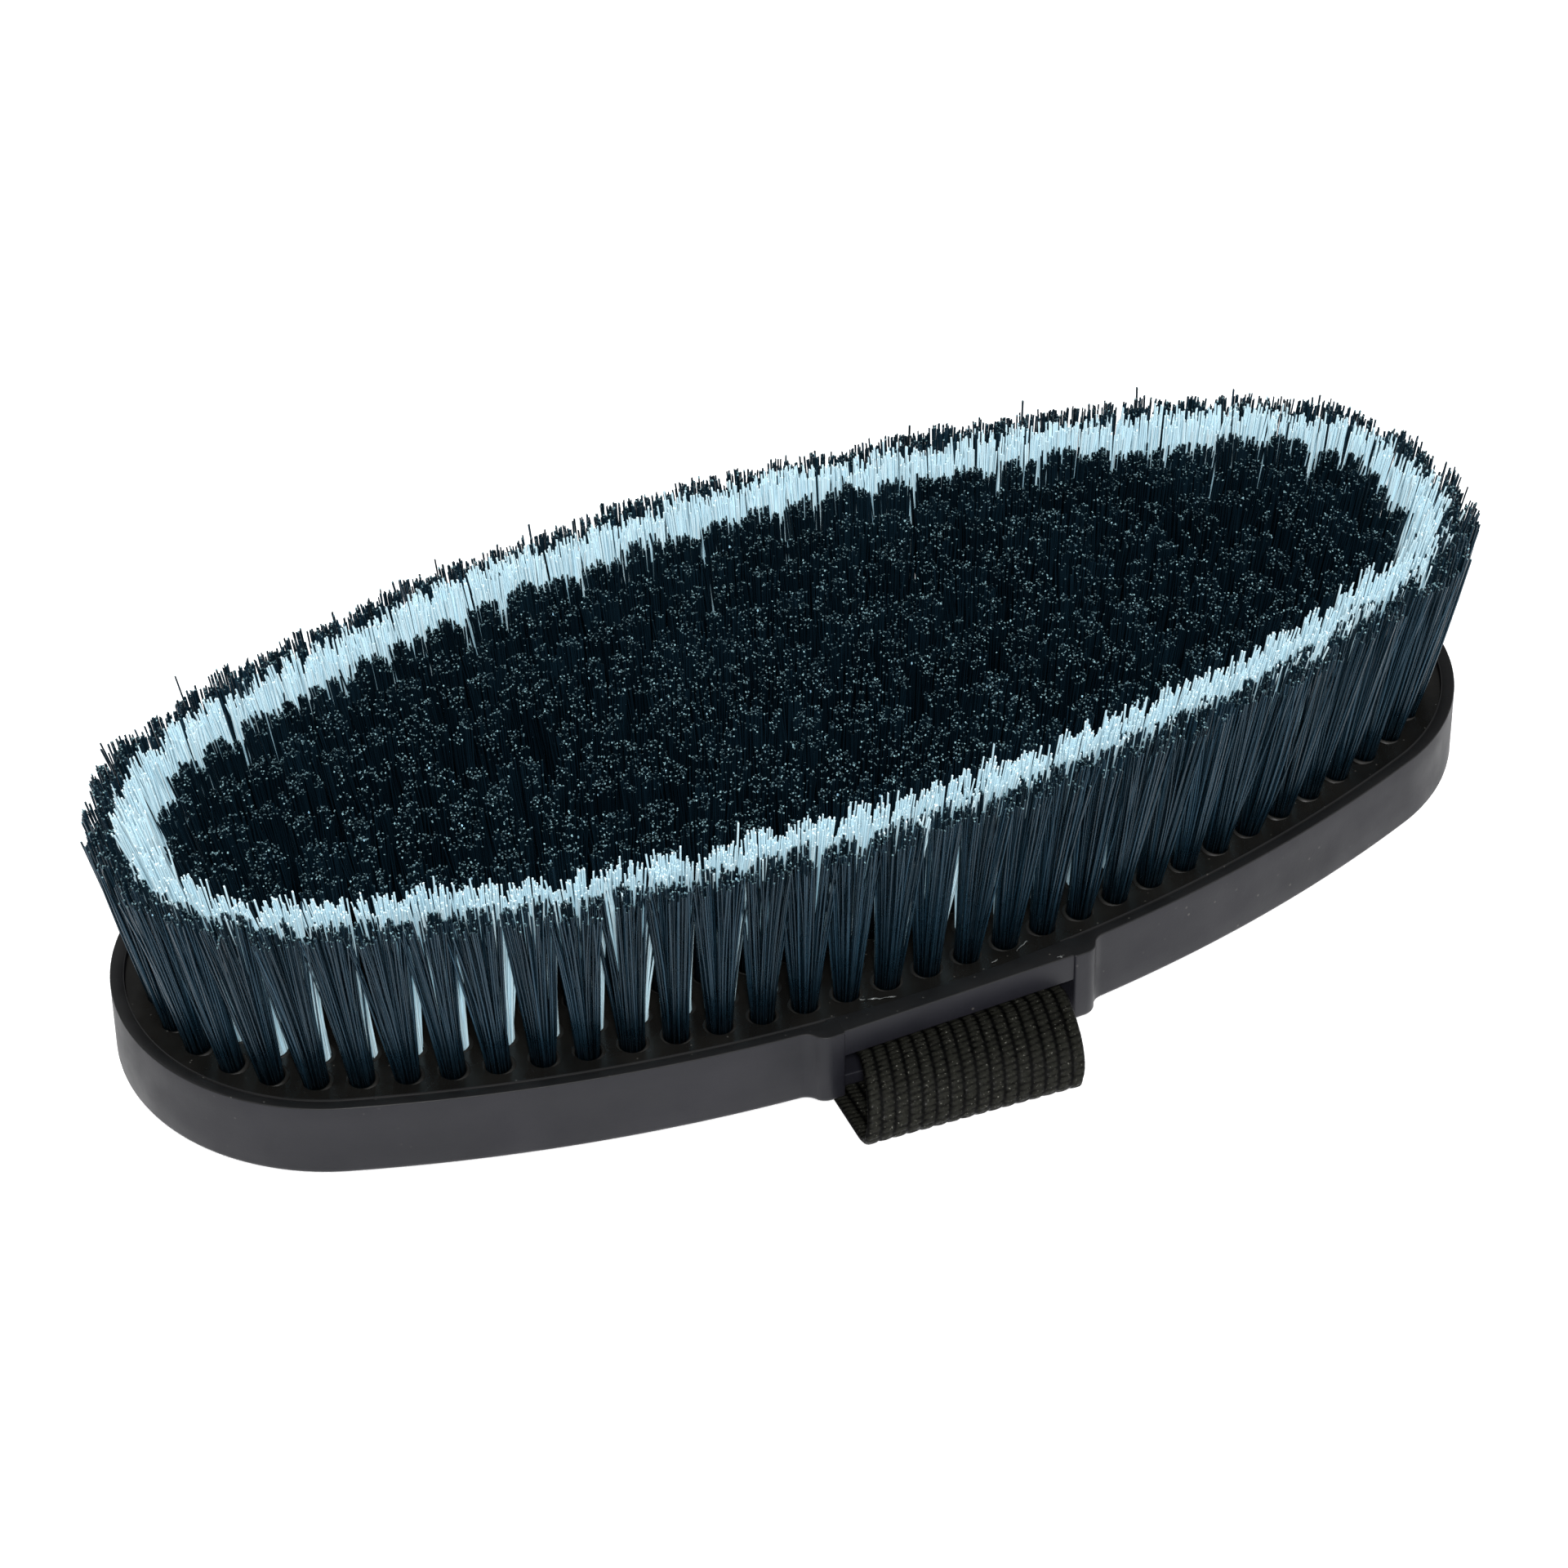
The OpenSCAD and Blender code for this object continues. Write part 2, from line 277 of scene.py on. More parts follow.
def floor_material():
    """Pale paper on a light table."""
    s = Shader("floor_pale", 0.9, Specular_IOR_Level=0.1, Emission_Color=(1, 1, 1, 1), Emission_Strength=0.5)
    s.colour(s.ramp(s.noise(3), (0.3, (0.90, 0.90, 0.90)), (0.7, (0.915, 0.915, 0.915))))
    return s.material


SHELL, STEEL, WEBBING = shell_material(), steel_material(), webbing_material()
# The plate's own near-black is made darker still to stand in for the shade between the tufts: its own colour plus
# painted shade.
PLATE = plate_material("plate_gloss", (0.0050, 0.0047, 0.0042), (0.0095, 0.0089, 0.0078), 0.20, 0.42)
FLASH = plate_material("flash_film", (0.045, 0.05, 0.05), (0.20, 0.21, 0.205), 0.12, 0.35)
COLLAR = plate_material("collar_rough", (0.0060, 0.0055, 0.0048), (0.0105, 0.0098, 0.0085), 0.45, 0.7)
# painted shade: the upward faces of the rim get a colour darker than the shell's plastic, standing in for their shade
# under the frontal light
LIP_PAINTED_SHADE = plate_material("lip_painted_shade", (0.0055, 0.0056, 0.0060), (0.0092, 0.0091, 0.0094), 0.46, 0.62)
# In each filament material the colour after the light tone is a painted glint for the tips, and the number after the
# sheen sets the painted shade at the root.
NAVY = filament_material("filament_navy", (0.0019, 0.0060, 0.0100), (0.0112, 0.0325, 0.0530), (0.23, 0.38, 0.41),
                         (0.40, 0.72, 0.95, 1), 0.12, 0.30)
# LIGHT_BLUE's emission is a painted glow: it stands in for light passing through the translucent filaments
LIGHT_BLUE = filament_material("filament_light_blue", (0.52, 0.71, 0.79), (0.68, 0.84, 0.89), (0.80, 0.91, 0.94),
                               (0.8, 0.95, 1.0, 1), 1.0, 0.45,
                               Emission_Color=(0.55, 0.77, 0.86, 1), Emission_Strength=0.12)


# ---------- Body shell ----------

def side_y(x, inset=0.0):
    return math.sqrt((SIDE_R - inset) ** 2 - x * x) - SIDE_Y


def boss_flank(side):
    """Outline of one boss on the +Y side, from the slot outward: a small corner, a flat front, and an S-curve."""
    corner = 0.3 * MM
    points = [(SLOT_X + corner * (1 - math.cos(t)), BOSS_Y - corner * (1 - math.sin(t))) for t in arc(0, 90, 4)]
    points.append((SLOT_X + BOSS_FLAT * 0.6, BOSS_Y))
    fade = [(1 - math.cos(t)) / (2 * (1 - math.cos(BOSS_TURN))) for t in np.linspace(0, BOSS_TURN, 8)]
    reach = [math.sin(t) / (2 * math.sin(BOSS_TURN)) for t in np.linspace(0, BOSS_TURN, 8)]
    fade += [1 - f for f in fade[-2::-1]]
    reach += [1 - f for f in reach[-2::-1]]
    points = [(SLOT_MID + side * x, y) for x, y in points]
    for f, r in zip(fade, reach):
        x = SLOT_MID + side * (SLOT_X + BOSS_FLAT + BOSS_FADE * r)
        points.append((x, BOSS_Y + (side_y(x) - BOSS_Y) * f))
    return points


def shell_columns():
    """(point, arc centre, arc radius, open slot) round the body, counter-clockwise from the +X end."""
    side = (0.0, -SIDE_Y)
    ends = SLOT_X + BOSS_FLAT + BOSS_FADE
    steps = 60
    half = [((END_X + END_R * math.cos(a), END_R * math.sin(a)), (END_X, 0.0), END_R, False)
            for a in np.linspace(0, JOIN_A, steps)[:-1]]

    def wall(start, stop):
        first, last = (math.acos(x / SIDE_R) for x in (start, stop))
        return [((SIDE_R * math.cos(a), SIDE_R * math.sin(a) - SIDE_Y), side, SIDE_R, False)
                for a in np.linspace(first, last, steps)]

    join_x = SIDE_R * math.cos(JOIN_A)
    half += wall(join_x, SLOT_MID + ends)[:-1]
    half += [(p, side, SIDE_R, False) for p in boss_flank(1)[::-1]]
    half += [((SLOT_MID + x, side_y(SLOT_MID + x)), side, SIDE_R, True) for x in np.linspace(SLOT_X, -SLOT_X, 25)]
    half += [(p, side, SIDE_R, False) for p in boss_flank(-1)]
    half += wall(SLOT_MID - ends, -join_x)[1:]
    half += [((-p[0], p[1]), (-c[0], c[1]), r, slot) for p, c, r, slot in half[:steps - 1][::-1]]
    return half + [((p[0], -p[1]), (c[0], -c[1]), r, slot) for p, c, r, slot in half[1:-1][::-1]]


def shell_profile(point, centre, radius, slot):
    """One column of the shell, from under the back, up the wall, over the lip and down inside."""
    p, c = Vector(point), Vector(centre)
    inward = (c - p).normalized()

    def at(inset, z, from_arc=False):
        q = c - inward * (radius - inset) if from_arc else p + inward * inset
        return (q.x, q.y, z)

    low_r, top_r, lip_r = 0.9 * MM, 0.2 * MM, 0.2 * MM
    top = FLOOR_Z if slot else RIM_Z
    column = [at(low_r * (1 - math.sin(t)), BACK_Z + low_r * (1 - math.cos(t))) for t in arc(0, 90, 5)]
    low = BACK_Z + low_r
    column += [at(0, low + (top - top_r - low) * f) for f in (0.25, 0.5, 0.75)]
    column += [at(top_r * (1 - math.cos(t)), top - top_r * (1 - math.sin(t))) for t in arc(0, 90, 4)]
    if slot:
        column += [at(WALL_T * f, top, True) for f in (0.4, 0.6, 0.8, 1.0)]
        column += [at(WALL_T + LEDGE * f, top, True) for f in (0.33, 0.66, 1.0)]
    else:
        column += [at(WALL_T * 0.6, top, True)]
        column += [at(WALL_T - lip_r * math.cos(t), top - lip_r * (1 - math.cos(t - math.pi / 2)), True)
                   for t in arc(0, 90, 2)]
        column += [at(WALL_T, SEAT_Z, True), at(WALL_T + LEDGE, SEAT_Z, True), at(WALL_T + LEDGE, FLOOR_Z, True)]
    return column


def bar_columns(side):
    """The bar over one strap slot: a rounded beam whose inner face follows the lip."""
    r, into_boss = 0.3 * MM, 1.2 * MM
    columns = []
    for x in np.linspace(-SLOT_X - into_boss, SLOT_X + into_boss, 29) + SLOT_MID:
        outer, inner = BAR_Y, side_y(x, WALL_T)
        low, high = RIM_Z - BAR_H, RIM_Z - 0.02 * MM
        loop = []
        for cy, cz, a in ((outer - r, low + r, -90), (outer - r, high - r, 0), (inner + r, high - r, 90),
                          (inner + r, low + r, 180)):
            loop += [(x, side * (cy + r * math.cos(t)), cz + r * math.sin(t)) for t in arc(a, a + 90, 3)]
        columns.append(loop + [loop[0]])
    return columns


def build_shell():
    columns = [shell_profile(*c) for c in shell_columns()]
    verts, faces = loft(columns)
    rows, count = len(columns[0]), len(columns)
    faces.append(tuple(i * rows for i in range(count)))
    faces.append(tuple(i * rows + rows - 1 for i in range(count)))
    for side in (1, -1):
        more, quads = loft(bar_columns(side), closed=False)
        base = len(verts)
        verts += more
        faces += [tuple(base + k for k in quad) for quad in quads]
    shell = make_object("shell", verts, faces, [SHELL, LIP_PAINTED_SHADE], 28)
    bm = bmesh.new()
    bm.from_mesh(shell.data)
    bmesh.ops.remove_doubles(bm, verts=bm.verts, dist=1e-6)
    bmesh.ops.recalc_face_normals(bm, faces=bm.faces)
    for face in bm.faces:
        # upward faces along the top of the rim take the second, darker material: painted shade
        face.material_index = int(face.normal.z > 0.3 and face.calc_center_median().z > RIM_Z - 0.4 * MM)
    bm.to_mesh(shell.data)
    bm.free()
    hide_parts("body_shell")
    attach(shell, "brush")
    return shell


build_shell()


# ---------- Tufts: the place of each comes from its CAD solid ----------

def islands(node):
    """Vertices of each separate solid of a CAD node, welded by position."""
    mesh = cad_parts[node].data
    co = np.zeros(len(mesh.vertices) * 3)
    mesh.vertices.foreach_get("co", co)
    co = co.reshape(-1, 3)
    keys, index = np.unique(np.round(co / 1e-6).astype(np.int64), axis=0, return_inverse=True)
    index = index.ravel()
    parent = list(range(len(keys)))

    def root(i):
        while parent[i] != i:
            parent[i] = parent[parent[i]]
            i = parent[i]
        return i

    for polygon in mesh.polygons:
        ids = [root(index[v]) for v in polygon.vertices]
        for other in ids[1:]:
            a, b = root(ids[0]), root(other)
            parent[b] = a
    groups = {}
    for i in range(len(keys)):
        groups.setdefault(root(i), []).append(keys[i] * 1e-6)
    return [np.array(g) for g in groups.values()]


def tuft_axis(points):
    """(mouth, tip) of a tuft: where its axis leaves the plate, and the middle of its tip."""
    centre = points.mean(0)
    axis = np.linalg.svd(points - centre)[2][0]
    axis = axis * np.sign(axis[2])
    reach = (points - centre) @ axis
    foot = points[reach < reach.min() + 0.02 * MM].mean(0)
    tip = points[reach > reach.max() - 0.02 * MM].mean(0)
    axis = (tip - foot) / np.linalg.norm(tip - foot)
    mouth = foot + axis * (PLATE_Z - foot[2]) / axis[2]
    return mouth, tip


def tuft_places(node):
    places = [tuft_axis(points) for points in islands(node)]
    return sorted(places, key=lambda place: math.atan2(place[0][1], place[0][0]))


def clumped(ends, tufts, count, clumps, pull):
    """Draws the tips of each tuft towards a few centres of its own; also gives which centre each one joins."""
    ends = ends.reshape(tufts, count, 2)
    centres = ends[:, rng.choice(count, clumps, replace=False)] * 1.05
    gap = np.linalg.norm(ends[:, :, None] - centres[:, None], axis=3)
    which = gap.argmin(2)
    target = np.take_along_axis(centres, which[..., None], 1)
    return (ends + (target - ends) * pull).reshape(-1, 2), which + np.arange(tufts)[:, None] * clumps


def outward(point):
    """Unit vector away from the long axis, square to the oval, at a point on the plate."""
    x, y = float(point[0]), float(point[1])
    if math.atan2(abs(y), abs(x) - END_X) < JOIN_A:
        way = np.array([x - math.copysign(END_X, x), y, 0.0])
    else:
        way = np.array([x, y + math.copysign(SIDE_Y, y), 0.0])
    return way / np.linalg.norm(way)


def filaments(places, count, steps, radius, spread, lean, thin, pull, rise, dome, ragged, uneven, stray, pale):
    """Arrays for many thin tapering prisms: points, quads, caps and a tone, a place along and a painted tip glint
    each.
    The tips spread to a disc, thinned square to the oval and moved outward by lean, drawn into clumps by pull,
    with a domed and ragged top that stands higher by rise and whose height is uneven from tuft to tuft."""
    total, sides = len(places) * count, 4
    mouth = np.repeat(np.array([p[0] for p in places]), count, axis=0)
    tip = np.repeat(np.array([p[1] for p in places]), count, axis=0)
    axis = tip - mouth
    length = np.linalg.norm(axis, axis=1, keepdims=True)
    axis /= length
    u = np.cross(axis, np.array([0.0, 1.0, 0.0]))
    u /= np.linalg.norm(u, axis=1, keepdims=True)
    v = np.cross(axis, u)

    # even discs of roots, and tips spread from them with some crossing over
    k = np.tile(np.arange(count), len(places))
    turn = np.repeat(rng.uniform(0, 2 * math.pi, len(places)), count)
    angle = turn + k * GOLDEN_ANGLE + rng.normal(0, 0.12, total)
    reach = np.sqrt((k + 0.5) / count)
    root_r = ROOT_R * reach
    along_x = mouth[:, 0] / HALF_L
    flare = np.repeat(rng.normal(1.0, 0.07, len(places)), count) * (1 + 0.1 * along_x)
    curl = (1.1 - 0.25 * along_x + np.repeat(rng.normal(0, 0.08, len(places)), count))[:, None]
    tip_r = spread * reach * flare * rng.uniform(0.84, 1.12, total)
    slip = rng.normal(0, 0.3 * MM, (total, 2)) + np.repeat(rng.normal(0, 0.3 * MM, (len(places), 2)), count, axis=0)
    root = np.stack([np.cos(angle), np.sin(angle)], 1) * root_r[:, None]
    end = np.stack([np.cos(angle), np.sin(angle)], 1) * tip_r[:, None]
    end, clump = clumped(end, len(places), count, CLUMPS, pull)
    end += slip
    out = np.repeat(np.array([outward(p[0]) for p in places]), count, axis=0)
    out = np.stack([(out * u).sum(1), (out * v).sum(1)], 1)
    end += out * ((thin - 1) * (end * out).sum(1, keepdims=True) + lean)
    bow = rng.normal(0, 0.2 * MM, (total, 2))

    trim = rng.normal(0, 0.6 * ragged, clump.max() + 1)[clump.ravel()] + rng.normal(0, ragged, total)
    trim += np.repeat(rng.normal(0, uneven, len(places)), count)
    trim -= dome * reach ** 2
    wild = rng.random(total) < stray
    trim = np.where(wild, trim + rng.uniform(0.0, 0.7, total) * MM, trim)
    trim = np.clip(trim, -2.4 * MM, 1.5 * MM) + rise
    end += np.where(wild[:, None], rng.normal(0, 1.2 * MM, (total, 2)), 0)
    scale = 1 + trim[:, None] / length

    radius = radius * rng.uniform(0.85, 1.12, total)
    tone = np.clip(pale * rng.beta(1.5, 3.0, total) + np.repeat(rng.normal(0, 0.05, len(places)), count), 0, 1)
    # painted glint on the tips: a quarter of the filaments get a strong one, the rest a faint one
    spark = np.where(rng.random(total) < 0.25, rng.uniform(0.5, 1.0, total), rng.uniform(0.05, 0.4, total))

    a = np.linspace(0, 2 * math.pi, sides, endpoint=False)
    ring = rng.uniform(0, math.pi, total)[:, None] + a[None, :]
    rows, along = [], []
    for s in range(steps + 1):
        t = s / steps
        side = root * (1 - t ** curl) + end * t ** curl + bow * 4 * t * (1 - t)
        middle = mouth + axis * length * scale * t - axis * (1 - t) * SUNK
        middle = middle + u * side[:, :1] + v * side[:, 1:]
        r = radius * (1.04 - 0.16 * t)
        rows.append(middle[:, None, :] + (u[:, None, :] * np.cos(ring)[..., None]
                                          + v[:, None, :] * np.sin(ring)[..., None]) * r[:, None, None])
        along.append(np.full((total, sides), t))
    tilt = rng.normal(0, 0.35, (total, 2))
    cap = rows[-1] + axis[:, None, :] * (np.cos(ring) * tilt[:, :1] + np.sin(ring) * tilt[:, 1:])[..., None] \
        * radius[:, None, None]
    rows[-1] = cap
    rows.append(cap.copy())
    along.append(np.full((total, sides), 1.0))

    points = np.stack(rows, 1)
    per = (steps + 2) * sides
    base = (np.arange(total) * per)[:, None, None]
    i = np.arange(sides)
    s = np.arange(steps)[:, None]
    j = (i + 1) % sides
    quads = np.stack([base + s * sides + i, base + s * sides + j, base + (s + 1) * sides + j,
                      base + (s + 1) * sides + i], -1).reshape(-1, 4)
    caps = (np.arange(total) * per)[:, None] + (steps + 1) * sides + i
    values = {
        "tone": np.repeat(tone, per),
        "along": np.stack(along, 1).reshape(-1),
        "painted_tip_glint": np.stack([np.full((total, sides), 0.0)] * (steps + 1)
                            + [np.repeat(spark[:, None], sides, 1)], 1).reshape(-1),
    }
    return points.reshape(-1, 3), quads, caps, values


def mesh_from_arrays(name, points, quads, caps, values, material):
    mesh = bpy.data.meshes.new(name)
    loops = np.concatenate([quads.ravel(), caps.ravel()])
    sizes = np.concatenate([np.full(len(quads), 4), np.full(len(caps), caps.shape[1])])
    mesh.vertices.add(len(points))
    mesh.vertices.foreach_set("co", points.astype(np.float32).ravel())
    mesh.loops.add(len(loops))
    mesh.loops.foreach_set("vertex_index", loops.astype(np.int32))
    mesh.polygons.add(len(sizes))
    mesh.polygons.foreach_set("loop_start", np.concatenate([[0], np.cumsum(sizes)[:-1]]).astype(np.int32))
    mesh.polygons.foreach_set("use_smooth", np.concatenate([np.ones(len(quads), bool), np.zeros(len(caps), bool)]))
    mesh.update(calc_edges=True)
    for key, data in values.items():
        mesh.attributes.new(key, "FLOAT", "POINT").data.foreach_set("value", data.astype(np.float32))
    mesh.materials.append(material)
    obj = bpy.data.objects.new(name, mesh)
    bpy.context.scene.collection.objects.link(obj)
    return obj


INNER = dict(count=92, steps=3, radius=0.16 * MM, spread=3.4 * MM, lean=0.0, thin=0.92, pull=0.42, rise=0.0,
             dome=0.55 * MM, ragged=0.24 * MM, uneven=0.38 * MM, stray=0.03, pale=0.3)
OUTER = dict(count=78, steps=4, radius=0.17 * MM, spread=4.05 * MM, lean=0.6 * MM, thin=0.66, pull=0.30, rise=0.0,
             dome=0.4 * MM, ragged=0.30 * MM, uneven=0.25 * MM, stray=0.05, pale=1.0)
LIGHT = dict(OUTER, spread=4.15 * MM, lean=2.1 * MM, thin=0.72, rise=0.7 * MM, ragged=0.5 * MM, uneven=0.35 * MM)
LOOKS = {
    "tufts_ring_1": OUTER,
    "tufts_ring_2": LIGHT,
    "tufts_ring_3": dict(INNER, lean=1.6 * MM),
    "tufts_ring_4": dict(INNER, lean=1.0 * MM),
    "tufts_ring_5": dict(INNER, lean=0.5 * MM),
    "tufts_ring_6": dict(INNER, spread=3.6 * MM),
    "tufts_ring_7": dict(INNER, spread=4.1 * MM, thin=1.0),
    "tufts_centre_row": dict(INNER, spread=4.2 * MM, thin=1.0),
}
all_places = []
for node, look in LOOKS.items():
    places = tuft_places(node)
    all_places += places
    piece = mesh_from_arrays(node.replace("tufts", "filaments"), *filaments(places, **look),
                             LIGHT_BLUE if look is LIGHT else NAVY)
    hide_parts(node)
    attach(piece, "brush")


# ---------- Plate: its CAD solid stays, with a raised collar round each hole ----------

def build_collars(places):
    verts, faces = [], []
    sides = 20
    # radius and height of each point, in mm
    section = ((1.74, -0.15), (1.80, 0.12), (1.92, 0.22), (2.06, 0.20), (2.22, 0.05), (2.30, -0.05))
    for mouth, tip in places:
        axis = Vector(tip - mouth).normalized()
        u = axis.cross(Vector((0, 1, 0))).normalized()
        v = axis.cross(u)
        rough = rng.uniform(0.75, 1.2)
        columns = []
        for a in np.linspace(0, 2 * math.pi, sides, endpoint=False):
            way = u * math.cos(a) + v * math.sin(a)
            columns.append([tuple(Vector(mouth) + way * r * MM + Vector((0, 0, h * rough * MM))) for r, h in section])
        more, quads = loft(columns)
        base = len(verts)
        verts += more
        faces += [tuple(base + k for k in quad) for quad in quads]
    collars = make_object("hole_collars", verts, faces, [COLLAR], 60)
    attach(collars, "brush")


build_collars(all_places)


def build_flash():
    """Torn bits of moulding flash, as crinkled slivers: three on the plate and one on the rim."""
    verts, faces = [], []
    for x0, y0, x1, y1, z in ((-11.0, -38.7, -6.4, -40.3, PLATE_Z), (8.1, -39.9, 9.2, -39.6, PLATE_Z),
                              (12.3, -39.2, 14.6, -38.0, PLATE_Z), (16.1, -43.7, 17.2, -43.6, RIM_Z - 0.05 * MM)):
        steps = max(4, int((x1 - x0) * 3))
        base = len(verts)
        for k in range(steps + 1):
            t = k / steps
            wide = 0.13 * math.sin(math.pi * min(max(t, 0.08), 0.92)) * rng.uniform(0.6, 1.2)
            for side in (-1, 1):
                verts.append((MM * (x0 + (x1 - x0) * t + rng.normal(0, 0.04)),
                              MM * (y0 + (y1 - y0) * t + side * wide + rng.normal(0, 0.05)),
                              z + MM * rng.uniform(0.03, 0.28)))
        faces += [(base + 2 * k, base + 2 * k + 2, base + 2 * k + 3, base + 2 * k + 1) for k in range(steps)]
    flash = make_object("moulding_flash", verts, faces, [FLASH], 20)
    solid = flash.modifiers.new("thickness", "SOLIDIFY")
    solid.thickness = 0.05 * MM
    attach(flash, "brush")


build_flash()


def repaint(node, material):
    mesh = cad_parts[node].data
    mesh.materials.clear()
    mesh.materials.append(material)


repaint("bristle_plate", PLATE)
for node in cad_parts:
    if node.startswith(("anchors", "strap_staples")):
        repaint(node, STEEL)


# ---------- Hand strap: ribbed elastic webbing, one half on each side ----------

def cubic(a, b, c, d, steps):
    """Points of a cubic curve from a to d, without a itself."""
    t = (np.arange(steps) + 1)[:, None] / steps
    return (1 - t) ** 3 * a + 3 * (1 - t) ** 2 * t * b + 3 * (1 - t) * t * t * c + t ** 3 * d


def strap_line(side, spacing):
    """Middle line of the strap from its hidden end through slot and fold to the middle of the back: places in Y
    and Z, the sideways skew, the dip of its right edge, the normals, and the distance along."""
    mid = (band_hi.z - band_lo.z) / 2
    tab_z = (end_lo.z + end_hi.z) / 2
    tab = np.array([-end_lo.y, tab_z])
    slot = np.array([BAR_Y, RIM_Z - BAR_H - 0.15 * MM - mid])
    fold = np.array([-leg_lo.y - 3.0 * MM, mid])
    tab_steps, slot_steps = 12, 24
    fine = np.concatenate([
        np.linspace([-end_hi.y, tab_z], tab, tab_steps),
        cubic(tab, tab + [3.4 * MM, 0], slot - [2.6 * MM, 0.5 * MM], slot, slot_steps),
        cubic(slot, slot + [8 * MM, 1.5 * MM], fold + [5.5 * MM, 0], fold, 60),
        np.linspace(fold, [0, mid], 40)[1:]])
    reach = np.concatenate([[0], np.cumsum(np.linalg.norm(np.diff(fine, axis=0), axis=1))])
    at = np.linspace(0, reach[-1], int(reach[-1] / spacing) + 1)
    line = np.stack([np.interp(at, reach, fine[:, 0]), np.interp(at, reach, fine[:, 1])], 1)
    outermost = reach[np.argmax(fine[:, 0])]
    tab_end, exit_slot = reach[tab_steps - 1], reach[tab_steps + slot_steps - 1]
    skew = np.interp(at, [exit_slot, outermost, reach[-1]], np.array([0.5, -3.4, 0]) * MM)
    dip = np.interp(at, [tab_end, exit_slot, exit_slot + 4 * MM, outermost], np.array([0, 0.9, 0.9, 0]) * MM)
    way = np.gradient(line, axis=0)
    way /= np.linalg.norm(way, axis=1, keepdims=True)
    return line * [side, 1], skew, dip, np.stack([-way[:, 1] * side, way[:, 0]], 1), at


def webbing_piece(name, faces, height, closed, nodes):
    """A ribbon between its two faces of points; closed tells whether its first and last rows get an end face."""
    n, cols = height.shape
    low, m, last = n * cols, cols - 1, (n - 1) * cols
    i, j = np.meshgrid(np.arange(n - 1), np.arange(m), indexing="ij")
    a = (i * cols + j).ravel()
    top = np.stack([a, a + 1, a + cols + 1, a + cols], 1)
    r, c = np.arange(n - 1) * cols, np.arange(m)
    quads = [top, top[:, ::-1] + low, np.stack([r, r + cols, r + cols + low, r + low], 1),
             np.stack([r + m + cols, r + m, r + m + low, r + m + cols + low], 1)]
    if closed[0]:
        quads.append(np.stack([c + 1, c, c + low, c + 1 + low], 1))
    if closed[1]:
        quads.append(np.stack([last + c, last + c + 1, last + c + 1 + low, last + c + low], 1))
    piece = mesh_from_arrays(name, np.concatenate([face.reshape(-1, 3) for face in faces]), np.concatenate(quads),
                             np.zeros((0, 4), int), {"height": np.tile(height.ravel(), 2)}, WEBBING)
    bm = bmesh.new()
    bm.from_mesh(piece.data)
    bmesh.ops.recalc_face_normals(bm, faces=bm.faces)
    bm.to_mesh(piece.data)
    bm.free()
    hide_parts(*nodes)
    return piece


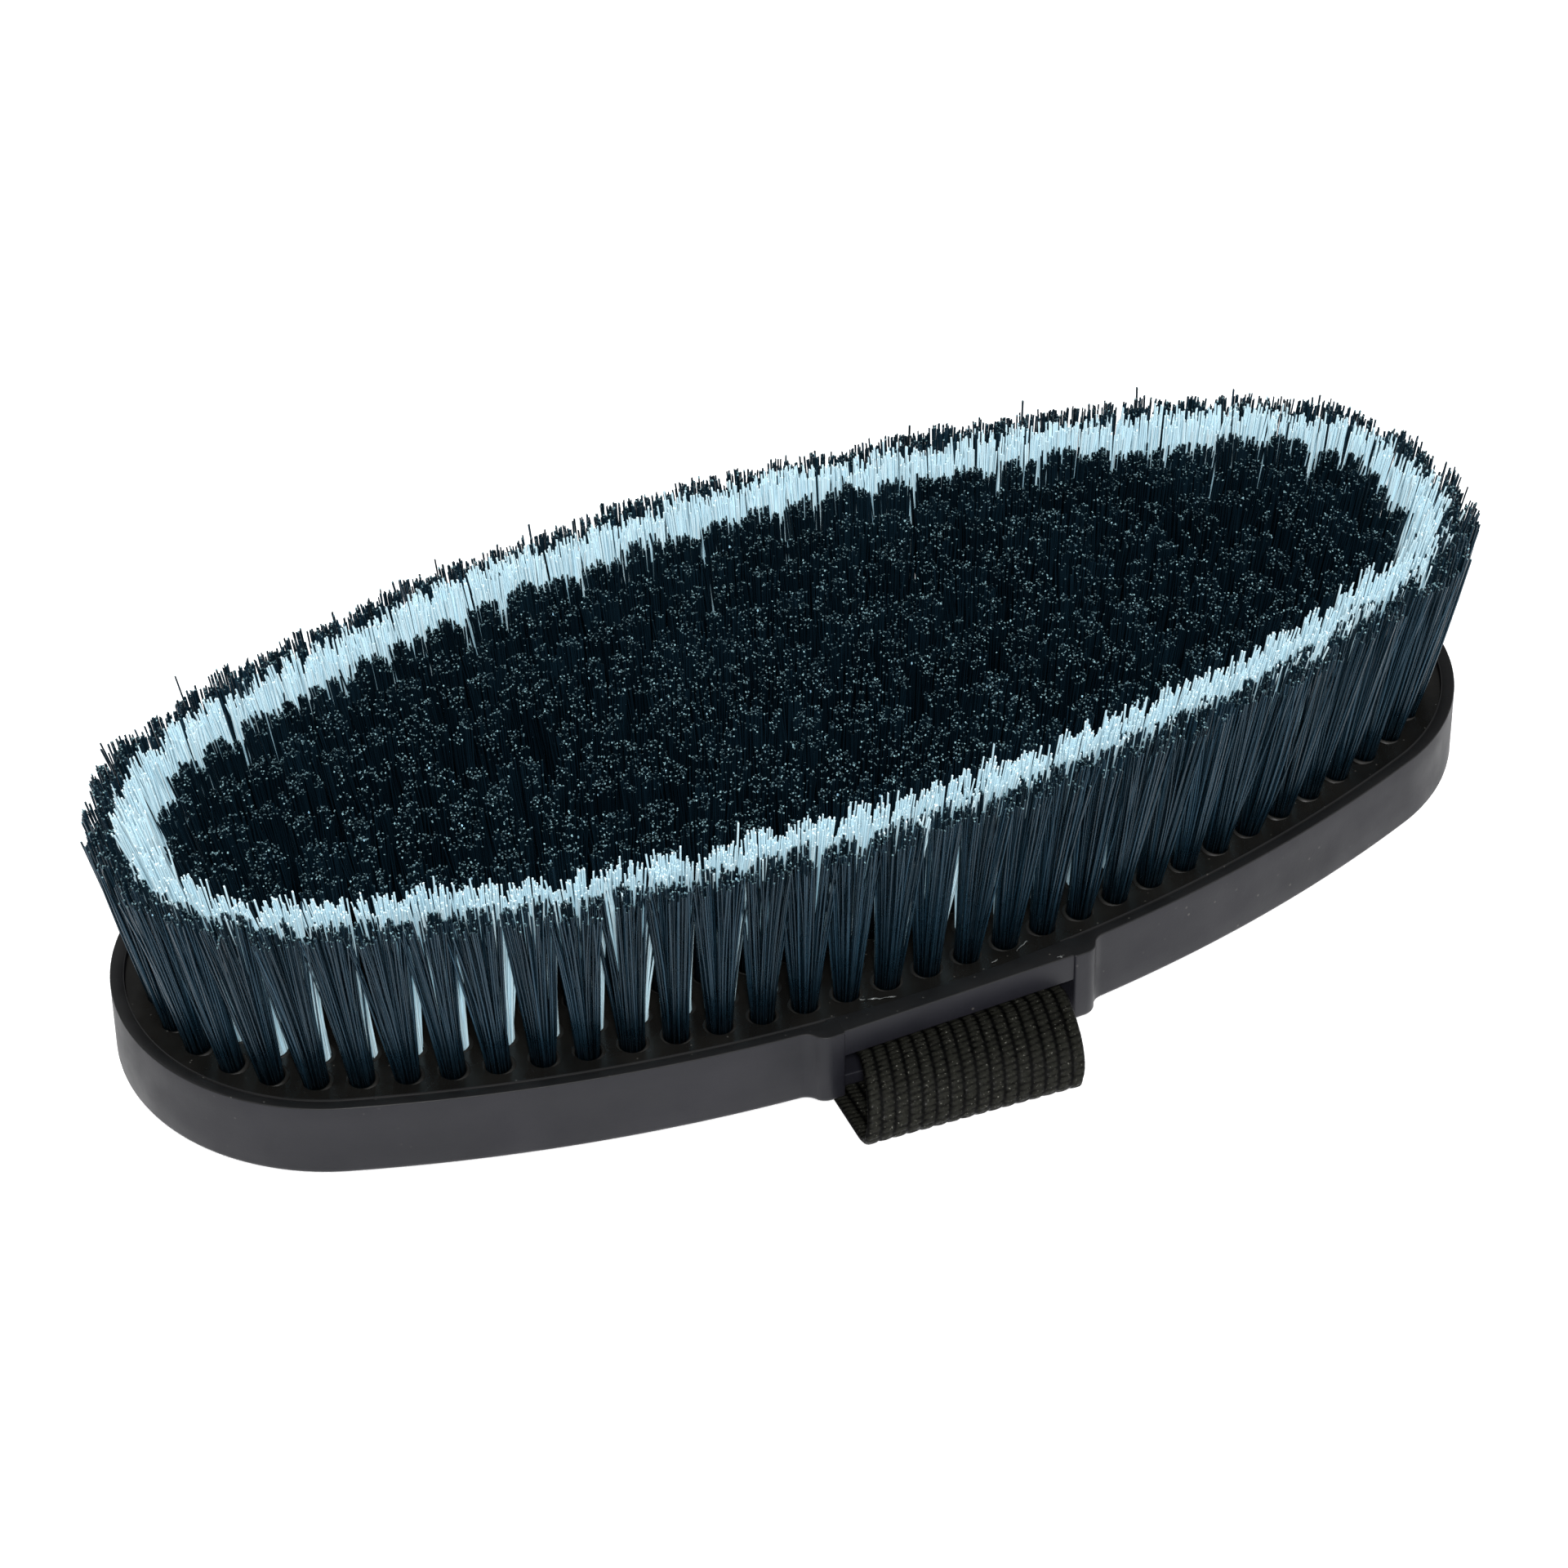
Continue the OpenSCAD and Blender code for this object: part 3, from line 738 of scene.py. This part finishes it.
def build_strap(side, end):
    """Half of the strap. The part inside the body and out to the fold is attached to the brush; the rest is a piece
    of its own.
    """
    ribs, per_rib, bead = 16, 7, 0.78 * MM
    line, skew, dip, normal, at = strap_line(side, 0.17 * MM)
    half_w = (band_hi.x - band_lo.x) / 2
    across = np.linspace(-1, 1, ribs * per_rib + 1)
    place = (across + 1) / 2 * ribs
    rib = np.abs(np.sin(place * math.pi)) ** 0.6
    edge = np.clip((1 - np.abs(across)) * half_w / (0.45 * MM), 0, 1) ** 0.5
    # twisted threads: slanting beads, each rib out of step with its neighbour
    wobble = rng.normal(0, 0.07, (len(at), ribs + 1))[:, np.floor(place).astype(int)]
    step = at[:, None] / bead + 0.35 * (place % 1) + 0.5 * (np.floor(place) % 2) + wobble
    height = rib[None, :] * (0.25 + 0.75 * np.abs(np.sin(step * math.pi)) ** 0.8)
    thick = (0.36 * MM + 0.18 * MM * height) * edge[None, :] + 0.02 * MM
    # the loop stands further out, and leaves the slot lower, at its right edge
    right = (across[None, :] + 1) / 2
    out = side * np.clip(np.abs(line[:, :1]) - BAR_Y, 0, None) * 0.28 * right
    faces = []
    for sign in (1, -1):
        points = np.empty((len(at), len(across), 3))
        points[..., 0] = SLOT_MID + skew[:, None] + across[None, :] * half_w
        points[..., 1] = line[:, :1] + out + normal[:, :1] * thick * sign
        points[..., 2] = line[:, 1:] - dip[:, None] * right + normal[:, 1:] * thick * sign
        faces.append(points)
    turn = int(np.argmax(np.abs(line[:, 0])))
    inner = webbing_piece("strap_inner_" + end, [face[:turn + 1] for face in faces], height[:turn + 1],
                          (True, False), ["strap_end_" + end])
    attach(inner, "brush")
    loop = webbing_piece("strap_loop_" + end, [face[turn:] for face in faces], height[turn:],
                         (False, True), ["strap_leg_" + end, "strap_band"])
    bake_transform(loop)


build_strap(-1, "front")
build_strap(1, "rear")


# ---------- Stage, light and camera ----------

def build_stage():
    half = 3.0
    floor = make_object("floor", [(-half, -half, 0), (half, -half, 0), (half, half, 0), (-half, half, 0)],
                        [(0, 1, 2, 3)], [floor_material()])
    world = bpy.data.worlds.new("studio")
    world.use_nodes = True
    background = world.node_tree.nodes["Background"]
    background.inputs["Color"].default_value = (0.96, 0.98, 1.0, 1)
    background.inputs["Strength"].default_value = 0.2
    bpy.context.scene.world = world

    def area(name, place, aim, size, power):
        light = bpy.data.lights.new(name, "AREA")
        light.shape = "DISK"
        light.size = size
        light.energy = power
        obj = bpy.data.objects.new(name, light)
        obj.location = place
        obj.rotation_euler = (Vector(aim) - Vector(place)).to_track_quat("-Z", "Y").to_euler()
        bpy.context.scene.collection.objects.link(obj)

    area("key", (-0.42, -0.92, 0.90), (0, 0, 0), 0.2, 18)
    area("fill", (0.9, -0.5, 0.7), (0, 0, 0), 0.8, 5)
    area("top", (-0.3, 0.5, 1.3), (0, 0, 0), 0.5, 6)


def build_camera():
    azimuth, elevation, roll = (math.radians(a) for a in CAMERA_ANGLES)
    aim = Vector(CAMERA_AIM) * MM
    back = Vector((math.sin(azimuth) * math.cos(elevation), -math.cos(azimuth) * math.cos(elevation),
                   math.sin(elevation)))
    right = (-back).cross(Vector((0, 0, 1))).normalized()
    up = right.cross(-back)
    x = right * math.cos(roll) + up * math.sin(roll)
    y = up * math.cos(roll) - right * math.sin(roll)
    data = bpy.data.cameras.new("camera")
    data.lens, data.sensor_width = CAMERA_LENS, 36
    data.clip_start, data.clip_end = 0.05, 20
    camera = bpy.data.objects.new("camera", data)
    turn = Matrix((x, y, back)).transposed().to_4x4()
    camera.matrix_world = Matrix.Translation(aim + back * CAMERA_DISTANCE) @ turn
    bpy.context.scene.collection.objects.link(camera)
    bpy.context.scene.camera = camera


build_stage()
build_camera()
bpy.context.scene.view_settings.view_transform = "Standard"
